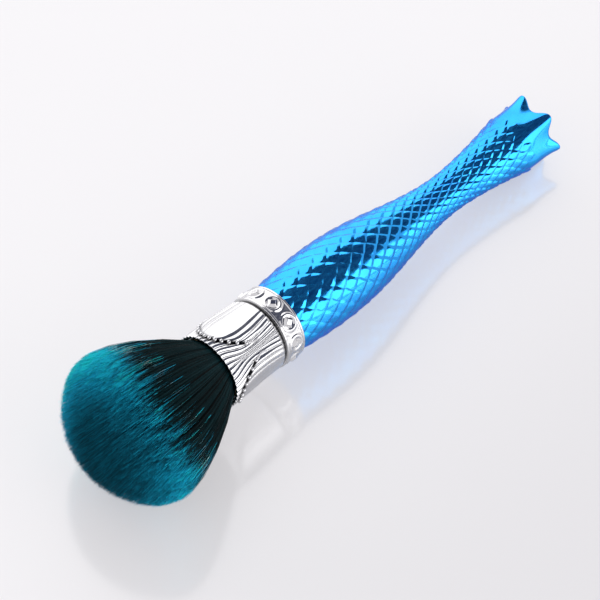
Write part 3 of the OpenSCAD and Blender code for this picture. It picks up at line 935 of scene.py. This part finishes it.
def lie_down(x, y, z):
    """Directions round the brush axis, turned and scaled as the brush lies."""
    return np.stack([x, y, z], axis=-1).reshape(-1, 3) @ lay[:3, :3].T


def bend_spikes(hair, level, spin):
    """Points of all spikes of a block on the table."""
    radius = hair.rho[:, None] * bundle(u)
    width = (hair.thick[:, None] * (1 - TAPER * u)) * spike_width
    x = radius * np.cos(hair.turn)[:, None] + hair.sway[:, :1] * u ** 2 + width * np.cos(spin)
    y = radius * np.sin(hair.turn)[:, None] + hair.sway[:, 1:] * u ** 2 + width * np.sin(spin)
    points = lie_down(x, y, level) + lay[:3, 3]
    points[:, 2] = np.maximum(points[:, 2], CLEARANCE)
    return points


def face_spikes(hair, spin):
    """Directions that the points face: out of the bundle, and out of the crown near the tips."""
    run = FLARE * (TUFT_RADIUS - ROOT_RADIUS) * (1 - u) ** (FLARE - 1) * hair.rho[:, None]
    fall = (ROOT_LEVEL - hair.tip)[:, None]
    steep = crown_slope(hair.rho)[:, None]
    end = np.clip((u - END_START) / (1 - END_START), 0, 1) * np.clip(2 - 2 * hair.rho, 0, 1)[:, None]
    out_r = (1 - end) * fall / np.hypot(fall, run) + end * steep / np.hypot(steep, 1)
    out_z = (1 - end) * run / np.hypot(fall, run) - end / np.hypot(steep, 1)
    normals = lie_down(out_r * np.cos(hair.turn)[:, None] + OWN_FACE * np.cos(spin),
                       out_r * np.sin(hair.turn)[:, None] + OWN_FACE * np.sin(spin), out_z)
    return normals / np.linalg.norm(normals, axis=1, keepdims=True)


print("parts of the length at the points of a spike", np.unique(u.round(2)))

# %% [markdown]
# A painted rim light lightens the tips at the rim of the crown, most at the far rim, as if light
# came from behind. Just past the border of the dye the tone is raised a little. Both are added to the
# tone, point by point.

# %% Dye the spikes and paint their rim light
RIM_LIGHT, FAR_RIM_LIGHT = 0.15, 0.3
BAND_RAISE, BAND_MIDDLE, BAND_WIDTH = 0.12, 2.5, 3.5
GLINT_REACH, GLINT_END = 5, 0.9


def dye_spikes(hair, level):
    """The two numbers of every point: its tone with painted rim light, and its place in the colours of
    the dye.
    """
    # Painted rim light on the tips of the outer filaments, strongest at the far rim.
    rim_light = (RIM_LIGHT + FAR_RIM_LIGHT * np.maximum(0, -np.sin(hair.side))) * hair.rho ** 8
    past = hair.border[:, None] - level
    # The tone is raised in a band just past the border of the dye.
    band = BAND_RAISE * np.exp(-((past - BAND_MIDDLE) / BAND_WIDTH) ** 2)
    tone = np.minimum(hair.tone[:, None] + rim_light[:, None] * u ** 6 + band, TONE_HIGH)
    # Painted glints: these filaments take the pale colour near the border.
    pale = (np.abs(past) < GLINT_REACH) & (u < GLINT_END) & hair.pale[:, None]
    colour = np.where(pale, 1.0, dye_place(past))
    return np.stack([tone, colour], axis=-1).reshape(-1, 2).astype(np.float32)


# The band is a raise of the tone just past the border.
print("the band of fresh dye is about", 2 * BAND_WIDTH, "mm wide")

# %% The tuft
BLOCKS, RIM_BLOCKS = 10, 3
for block in range(BLOCKS):
    hair = draw_filaments(block < RIM_BLOCKS)
    draw_dye(hair)
    spin = chance.uniform(0, math.tau, count)[:, None] - spike_turn
    level = ROOT_LEVEL + u * (hair.tip - ROOT_LEVEL)[:, None]
    mesh = block_mesh.copy()
    mesh.name = f"tuft_filaments_{block + 1}"
    mesh.vertices.foreach_set("co", bend_spikes(hair, level, spin).ravel())
    mesh.update()
    corners = np.empty(len(mesh.loops), dtype=np.int32)
    mesh.loops.foreach_get("vertex_index", corners)
    strand = mesh.uv_layers.new(name="strand")
    strand.data.foreach_set("uv", dye_spikes(hair, level)[corners].ravel())
    mesh.polygons.foreach_set("use_smooth", [True] * len(mesh.polygons))
    mesh.normals_split_custom_set_from_vertices(face_spikes(hair, spin))
    mesh.materials.append(fibre)
    tie_to_frame(mesh.name, mesh, "bristle_tuft")
bpy.data.meshes.remove(block_mesh)
print(BLOCKS * count, "filaments")

# %% [markdown]
# ## Hidden pieces
# Glue, liner and tang sit inside the ferrule. They stay as the CAD made them, and get the finish of
# their real material: cast epoxy, drawn aluminium and moulded plastic. Each is a name, a light and a
# dark colour, metal or not, a roughness and the size of its grain in millimetres.

# %% Hidden finishes
# Cast epoxy looks like amber wax, drawn aluminium like a dull mirror and moulded ABS like cream.
HIDDEN = {"glue_plug": ("cast_epoxy", "#D8C48C", "#C9B274", 0.0, 0.35, 1.2),
          "ferrule_liner": ("drawn_aluminium", "#C3C7CC", "#AEB3B9", 1.0, 0.38, 0.5),
          "handle_tang": ("moulded_abs", "#E2DFD6", "#D6D2C7", 0.0, 0.5, 0.9)}
for name, (title, light, dark, metal, rough, grain) in HIDDEN.items():
    material, tree, shader = new_material(title)
    place = add(tree, "TexCoord")
    speck = add(tree, "TexNoise", {"Vector": place.outputs["Object"], "Scale": 1 / (grain * MM)})
    tint = add(tree, "ValToRGB", {"Fac": speck.outputs["Fac"]})
    tint.color_ramp.elements[0].color = linear(dark)
    tint.color_ramp.elements[1].color = linear(light)
    tree.links.new(tint.outputs["Color"], shader.inputs["Base Color"])
    shader.inputs["Metallic"].default_value = metal
    shader.inputs["Roughness"].default_value = rough
    node_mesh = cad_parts[name].data
    node_mesh.materials.clear()
    node_mesh.materials.append(material)
    print(name, "is", title)
